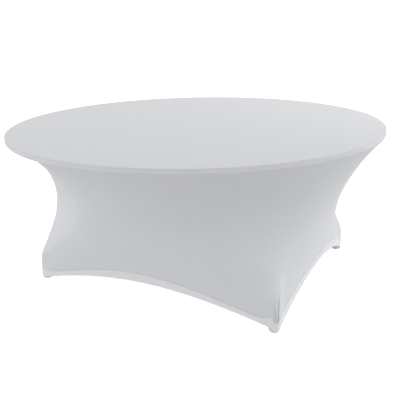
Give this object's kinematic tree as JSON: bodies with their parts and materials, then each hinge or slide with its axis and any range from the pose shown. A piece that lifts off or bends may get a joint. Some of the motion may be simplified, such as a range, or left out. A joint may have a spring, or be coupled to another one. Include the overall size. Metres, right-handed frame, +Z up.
{
  "type": "round folding table with fitted stretch cover",
  "caption": "Round folding banquet table under a fitted stretch tablecloth whose skirt is pulled to the feet and pocketed there.",
  "frame": {"origin": "on the floor, under the centre of the round top", "axes": "+Z up; X from leg frame to leg frame; Y along each frame's pivot bar"},
  "size_m": [1.8288, 1.8288, 0.762],
  "materials": {
    "cover_fabric": "smooth stretch knit, faint sheen",
    "hem_fabric": "doubled stretch knit with a sewn edge",
    "pocket_fabric": "doubled stretch knit pouch with a grey lining",
    "plywood": "clear-coated birch ply",
    "edge_vinyl": "satin vinyl edging",
    "leg_steel": "powder coat, fine texture",
    "zinc_hardware": "zinc plated",
    "foot_rubber": "moulded rubber"
  },
  "bodies": {
    "tabletop": {"tabletop_panel": "plywood", "edge_trim": "edge_vinyl", "pivot_bracket_left_front": "leg_steel", "pivot_screw_left_front_inner": "zinc_hardware", "pivot_screw_left_front_outer": "zinc_hardware", "pivot_bracket_left_rear": "leg_steel", "pivot_screw_left_rear_inner": "zinc_hardware", "pivot_screw_left_rear_outer": "zinc_hardware", "brace_bracket_left": "leg_steel", "brace_screw_left_inner": "zinc_hardware", "brace_screw_left_outer": "zinc_hardware", "root_pin_left": "zinc_hardware", "pivot_bracket_right_front": "leg_steel", "pivot_screw_right_front_inner": "zinc_hardware", "pivot_screw_right_front_outer": "zinc_hardware", "pivot_bracket_right_rear": "leg_steel", "pivot_screw_right_rear_inner": "zinc_hardware", "pivot_screw_right_rear_outer": "zinc_hardware", "brace_bracket_right": "leg_steel", "brace_screw_right_inner": "zinc_hardware", "brace_screw_right_outer": "zinc_hardware", "root_pin_right": "zinc_hardware", "cover_top": "cover_fabric", "cover_edge_band": "cover_fabric", "skirt_panel_front_left": "cover_fabric", "skirt_panel_rear_right": "cover_fabric", "hem_band_front": "hem_fabric", "hem_band_rear": "hem_fabric", "hem_band_left": "hem_fabric", "hem_band_right": "hem_fabric"},
    "leg_frame_left": {"pivot_bar_left": "leg_steel", "leg_left_front": "leg_steel", "leg_left_rear": "leg_steel", "crossbar_left": "leg_steel", "brace_lug_left": "leg_steel", "leg_pin_left": "zinc_hardware", "foot_cap_left_front": "foot_rubber", "foot_pocket_left_front": "pocket_fabric", "foot_cap_left_rear": "foot_rubber", "foot_pocket_left_rear": "pocket_fabric"},
    "upper_link_left": {"upper_link_left": "leg_steel", "elbow_rivet_left": "zinc_hardware"},
    "lower_link_left": {"lower_link_left": "leg_steel"},
    "leg_frame_right": {"pivot_bar_right": "leg_steel", "leg_right_front": "leg_steel", "leg_right_rear": "leg_steel", "crossbar_right": "leg_steel", "brace_lug_right": "leg_steel", "leg_pin_right": "zinc_hardware", "foot_cap_right_front": "foot_rubber", "foot_pocket_right_front": "pocket_fabric", "foot_cap_right_rear": "foot_rubber", "foot_pocket_right_rear": "pocket_fabric"},
    "upper_link_right": {"upper_link_right": "leg_steel", "elbow_rivet_right": "zinc_hardware"},
    "lower_link_right": {"lower_link_right": "leg_steel"}
  },
  "joints": [
    {"name": "leg_fold_left", "type": "hinge", "parent": "tabletop", "child": "leg_frame_left", "pos_m": [-0.475, 0, 0.7113], "axis": [0, -1, 0], "range_deg": [0, 96.56], "deforming": ["skirt_panel_front_left", "skirt_panel_rear_right", "hem_band_front", "hem_band_rear", "hem_band_left", "hem_band_right"]},
    {"name": "brace_root_left", "type": "hinge", "parent": "tabletop", "child": "upper_link_left", "pos_m": [-0.115, 0, 0.7113], "axis": [0, 1, 0], "range_deg": [0, 38.51]},
    {"name": "brace_leg_left", "type": "hinge", "parent": "leg_frame_left", "child": "lower_link_left", "pos_m": [-0.54713, 0, 0.3586], "axis": [0, -1, 0], "range_deg": [0, 38.51]},
    {"name": "leg_fold_right", "type": "hinge", "parent": "tabletop", "child": "leg_frame_right", "pos_m": [0.475, 0, 0.7113], "axis": [0, 1, 0], "range_deg": [0, 101.56], "deforming": ["skirt_panel_front_left", "skirt_panel_rear_right", "hem_band_front", "hem_band_rear", "hem_band_left", "hem_band_right"]},
    {"name": "brace_root_right", "type": "hinge", "parent": "tabletop", "child": "upper_link_right", "pos_m": [0.115, 0, 0.7113], "axis": [0, -1, 0], "range_deg": [0, 39.24]},
    {"name": "brace_leg_right", "type": "hinge", "parent": "leg_frame_right", "child": "lower_link_right", "pos_m": [0.54713, 0, 0.3586], "axis": [0, 1, 0], "range_deg": [0, 39.24]}
  ],
  "couplings": [
    {"joint": "brace_root_left", "follows": "leg_fold_left", "ratio": 0.39865},
    {"joint": "brace_leg_left", "follows": "leg_fold_left", "ratio": 0.39865},
    {"joint": "brace_root_right", "follows": "leg_fold_right", "ratio": 0.38619},
    {"joint": "brace_leg_right", "follows": "leg_fold_right", "ratio": 0.38619}
  ]
}
